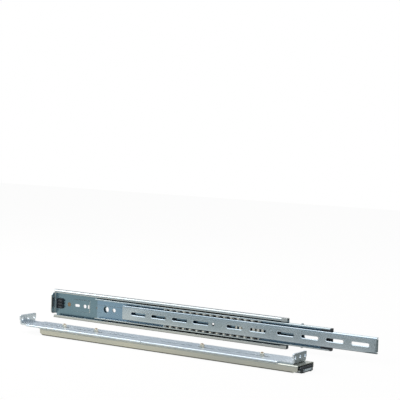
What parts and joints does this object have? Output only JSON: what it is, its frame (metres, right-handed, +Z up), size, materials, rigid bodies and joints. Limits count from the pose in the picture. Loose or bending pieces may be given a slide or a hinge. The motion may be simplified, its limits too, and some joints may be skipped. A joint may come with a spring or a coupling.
{
  "type": "sliding server rail pair",
  "caption": "Telescopic ball bearing slides that carry a server in a rack: one upright and drawn part way out, one closed and lying flat, with slotted brackets and holed ears.",
  "frame": {"origin": "middle of the bottom of the pair's bounding box, on the surface that both slides stand on", "axes": "+X along both slides, the way the upright one is drawn out; +Y from the flat slide to the upright one; +Z up"},
  "size_m": [0.676, 0.2014, 0.053],
  "materials": {
    "rail_steel": "zinc plated cold rolled steel with a faint blue passivate, satin",
    "bracket_steel": "zinc plated steel sheet, satin",
    "cage_steel": "dark oiled pressed steel",
    "ball_steel": "hardened and polished",
    "black_plastic": "moulded black acetal",
    "lever_steel": "zinc plated pressed steel strip",
    "passivated_steel": "yellow passivated zinc plated steel"
  },
  "bodies": {
    "outer_rails": {"left_outer_rail": "rail_steel", "left_rear_bumper": "black_plastic", "left_bracket_studs": "passivated_steel", "right_outer_rail": "rail_steel", "right_rear_bumper": "black_plastic", "right_bracket_studs": "passivated_steel", "right_rear_bracket": "bracket_steel", "right_front_bracket": "bracket_steel", "right_bracket_nuts": "passivated_steel"},
    "left_intermediate": {"left_intermediate_rail": "rail_steel", "left_front_guide": "black_plastic"},
    "left_inner": {"left_inner_rail": "rail_steel", "left_lever_rivet": "passivated_steel"},
    "left_outer_race": {"left_outer_cage": "cage_steel", "left_outer_balls": "ball_steel"},
    "left_inner_race": {"left_inner_cage": "cage_steel", "left_inner_balls": "ball_steel"},
    "left_lever": {"left_release_lever": "lever_steel"},
    "right_intermediate": {"right_intermediate_rail": "rail_steel", "right_front_guide": "black_plastic"},
    "right_inner": {"right_inner_rail": "rail_steel", "right_lever_rivet": "passivated_steel"},
    "right_outer_race": {"right_outer_cage": "cage_steel", "right_outer_balls": "ball_steel"},
    "right_inner_race": {"right_inner_cage": "cage_steel", "right_inner_balls": "ball_steel"},
    "right_lever": {"right_release_lever": "lever_steel"}
  },
  "joints": [
    {"name": "left_intermediate_slide", "type": "slide", "parent": "outer_rails", "child": "left_intermediate", "axis": [1, 0, 0], "range_m": [-0.082, 0.172]},
    {"name": "left_inner_slide", "type": "slide", "parent": "left_intermediate", "child": "left_inner", "axis": [1, 0, 0], "range_m": [-0.082, 0.172]},
    {"name": "left_outer_cage_slide", "type": "slide", "parent": "outer_rails", "child": "left_outer_race", "axis": [1, 0, 0], "range_m": [-0.041, 0.086]},
    {"name": "left_inner_cage_slide", "type": "slide", "parent": "left_intermediate", "child": "left_inner_race", "axis": [1, 0, 0], "range_m": [-0.041, 0.086]},
    {"name": "left_lever_pivot", "type": "hinge", "parent": "left_inner", "child": "left_lever", "pos_m": [0.142, 0.08, 0.0265], "axis": [0, 1, 0], "range_deg": [-4, 4], "stiffness_Nm_per_rad": 0.3},
    {"name": "right_intermediate_slide", "type": "slide", "parent": "outer_rails", "child": "right_intermediate", "axis": [1, 0, 0], "range_m": [0, 0.254]},
    {"name": "right_inner_slide", "type": "slide", "parent": "right_intermediate", "child": "right_inner", "axis": [1, 0, 0], "range_m": [0, 0.254]},
    {"name": "right_outer_cage_slide", "type": "slide", "parent": "outer_rails", "child": "right_outer_race", "axis": [1, 0, 0], "range_m": [0, 0.127]},
    {"name": "right_inner_cage_slide", "type": "slide", "parent": "right_intermediate", "child": "right_inner_race", "axis": [1, 0, 0], "range_m": [0, 0.127]},
    {"name": "right_lever_pivot", "type": "hinge", "parent": "right_inner", "child": "right_lever", "pos_m": [0.0985, -0.07425, 0.003], "axis": [0, 0, 1], "range_deg": [-4, 4], "stiffness_Nm_per_rad": 0.3}
  ],
  "couplings": [
    {"joint": "left_outer_cage_slide", "follows": "left_intermediate_slide", "ratio": 0.5},
    {"joint": "left_inner_cage_slide", "follows": "left_inner_slide", "ratio": 0.5},
    {"joint": "right_outer_cage_slide", "follows": "right_intermediate_slide", "ratio": 0.5},
    {"joint": "right_inner_cage_slide", "follows": "right_inner_slide", "ratio": 0.5}
  ]
}
